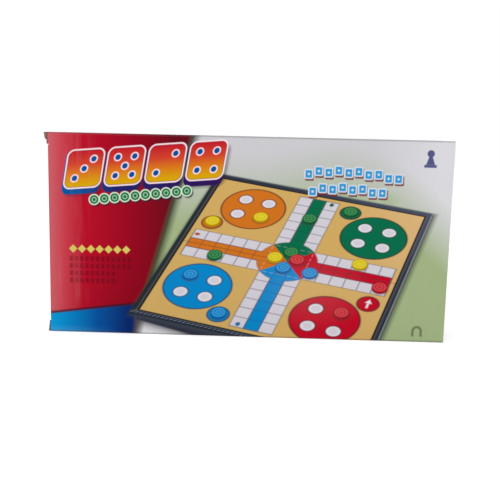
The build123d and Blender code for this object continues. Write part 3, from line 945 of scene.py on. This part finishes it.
die_low, die_high = (Vector(corner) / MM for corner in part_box("die"))
DIE_HALF = (die_high.x - die_low.x) / 2
DIE_ROUND = 1.1
PIP_RADIUS = 1.15
PIP_STEP = 2.7
PIP_SINK = 0.12
PIP_FLATNESS = 0.12
PIP_PLACES = {
    1: ((0, 0),),
    2: ((-1, -1), (1, 1)),
    3: ((-1, -1), (0, 0), (1, 1)),
    4: ((-1, -1), (-1, 1), (1, -1), (1, 1)),
    5: ((-1, -1), (-1, 1), (1, -1), (1, 1), (0, 0)),
    6: ((-1, -1), (-1, 0), (-1, 1), (1, -1), (1, 0), (1, 1)),
}
DIE_FACES = (
    (1, Matrix.Rotation(radians(90), 4, "X")),
    (6, Matrix.Rotation(radians(-90), 4, "X")),
    (2, Matrix.Identity(4)),
    (5, Matrix.Rotation(radians(180), 4, "X")),
    (3, Matrix.Rotation(radians(90), 4, "Y")),
    (4, Matrix.Rotation(radians(-90), 4, "Y")),
)

die_plastic = Finish("die_plastic", roughness=0.26)
milk = die_plastic.noise(5.0)
die_plastic.colour(die_plastic.paint(ink(240, 238, 230), ink(226, 223, 214), milk))
die_plastic.bump(die_plastic.noise(0.7), 0.01)
pip_paint = Finish("pip_paint", roughness=0.5)
pip_paint.colour(pip_paint.paint(ink(18, 18, 20), ink(40, 40, 44), pip_paint.noise(0.4)))

die_centre = (die_low + die_high) / 2
bm = bmesh.new()
bmesh.ops.create_cube(bm, size=2 * DIE_HALF)
bmesh.ops.bevel(
    bm, geom=bm.edges[:], offset=DIE_ROUND, offset_type="OFFSET", segments=4, profile=0.5,
    affect="EDGES", material=-1,
)
body_faces = set(bm.faces)
for value, turn in DIE_FACES:
    for across, up in PIP_PLACES[value]:
        place = Matrix.Translation((across * PIP_STEP, up * PIP_STEP, DIE_HALF - PIP_SINK))
        bmesh.ops.create_uvsphere(
            bm, u_segments=14, v_segments=6, radius=PIP_RADIUS,
            matrix=turn @ place @ Matrix.Diagonal((1, 1, PIP_FLATNESS, 1)),
        )
for face in bm.faces:
    face.material_index = 0 if face in body_faces else 1
bmesh.ops.translate(bm, verts=bm.verts, vec=die_centre)
die = piece("gaming_die", bm, die_plastic, "carton")
die.data.materials.append(pip_paint.material)
die.data.shade_smooth()
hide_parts("die")


# ------------------------------------------------------------------ studio
# White sweep and a bright even surround, with a large soft light on each side.  The floor keeps
# the carton's contact shadow and runs out to plain white.

FLOOR_HALF = 3000.0
FLOOR_DROP = 0.2
LIGHT_AIM = (0, 0, 0.06)
floor_finish = Finish("floor_white", roughness=0.9, specular=0.0)
floor_finish.colour(ink(248, 248, 248))
floor_tree = floor_finish.tree
path = floor_tree.nodes.new("ShaderNodeLightPath")
lift = floor_tree.nodes.new("ShaderNodeEmission")
lift.inputs["Strength"].default_value = 0.45
darken = floor_tree.nodes.new("ShaderNodeMixShader")
both = floor_tree.nodes.new("ShaderNodeAddShader")
floor_tree.links.new(path.outputs["Is Camera Ray"], darken.inputs[0])
floor_tree.links.new(floor_finish.shader.outputs[0], both.inputs[0])
floor_tree.links.new(lift.outputs[0], both.inputs[1])
floor_tree.links.new(floor_finish.shader.outputs[0], darken.inputs[1])
floor_tree.links.new(both.outputs[0], darken.inputs[2])
floor_tree.links.new(darken.outputs[0], floor_tree.nodes["Material Output"].inputs[0])
bm = bmesh.new()
bmesh.ops.create_grid(bm, x_segments=1, y_segments=1, size=FLOOR_HALF * MM)
bmesh.ops.translate(bm, verts=bm.verts, vec=(0, 0, -FLOOR_DROP * MM))
floor_mesh = bpy.data.meshes.new("studio_floor")
bm.to_mesh(floor_mesh)
bm.free()
floor_mesh.materials.append(floor_finish.material)
floor = bpy.data.objects.new("studio_floor", floor_mesh)
bpy.context.scene.collection.objects.link(floor)

world = bpy.data.worlds.new("studio_surround")
bpy.context.scene.world = world
world.use_nodes = True
sky = world.node_tree
surround = sky.nodes["Background"]
surround.inputs["Color"].default_value = (1.0, 1.0, 1.0, 1.0)
surround.inputs["Strength"].default_value = 0.65
white = sky.nodes.new("ShaderNodeBackground")
white.inputs["Color"].default_value = (1.0, 1.0, 1.0, 1.0)
white.inputs["Strength"].default_value = 1.0
ray = sky.nodes.new("ShaderNodeLightPath")
direct = sky.nodes.new("ShaderNodeMath")
direct.operation = "MAXIMUM"
clear = sky.nodes.new("ShaderNodeMath")
clear.operation = "MAXIMUM"
choose = sky.nodes.new("ShaderNodeMixShader")
sky.links.new(ray.outputs["Is Camera Ray"], direct.inputs[0])
sky.links.new(ray.outputs["Is Glossy Ray"], direct.inputs[1])
sky.links.new(direct.outputs[0], clear.inputs[0])
sky.links.new(ray.outputs["Is Transmission Ray"], clear.inputs[1])
sky.links.new(clear.outputs[0], choose.inputs[0])
sky.links.new(surround.outputs[0], choose.inputs[1])
sky.links.new(white.outputs[0], choose.inputs[2])
sky.links.new(choose.outputs[0], sky.nodes["World Output"].inputs[0])


def soft_box(name, place, aim, size, watts):
    """Square soft light pointed at a place."""
    lamp = bpy.data.lights.new(name, "AREA")
    lamp.size = size
    lamp.energy = watts
    holder = bpy.data.objects.new(name, lamp)
    holder.location = place
    holder.rotation_euler = (Vector(aim) - Vector(place)).to_track_quat("-Z", "Y").to_euler()
    bpy.context.scene.collection.objects.link(holder)


soft_box("key_light", (-0.7, -1.1, 1.1), LIGHT_AIM, 0.9, 8.0)
soft_box("fill_light", (0.9, -1.2, 0.7), LIGHT_AIM, 0.9, 3.6)

camera_data = bpy.data.cameras.new("camera")
camera_data.sensor_width = 36.0
camera_data.lens = 54.0
camera_data.clip_start = 0.01
camera = bpy.data.objects.new("camera", camera_data)
camera.location = (0.0137, -0.4995, 0.1322)
camera.rotation_euler = (radians(81.26), radians(-1.322), radians(1.618))
bpy.context.scene.collection.objects.link(camera)
bpy.context.scene.camera = camera
bpy.context.scene.view_settings.view_transform = "Standard"
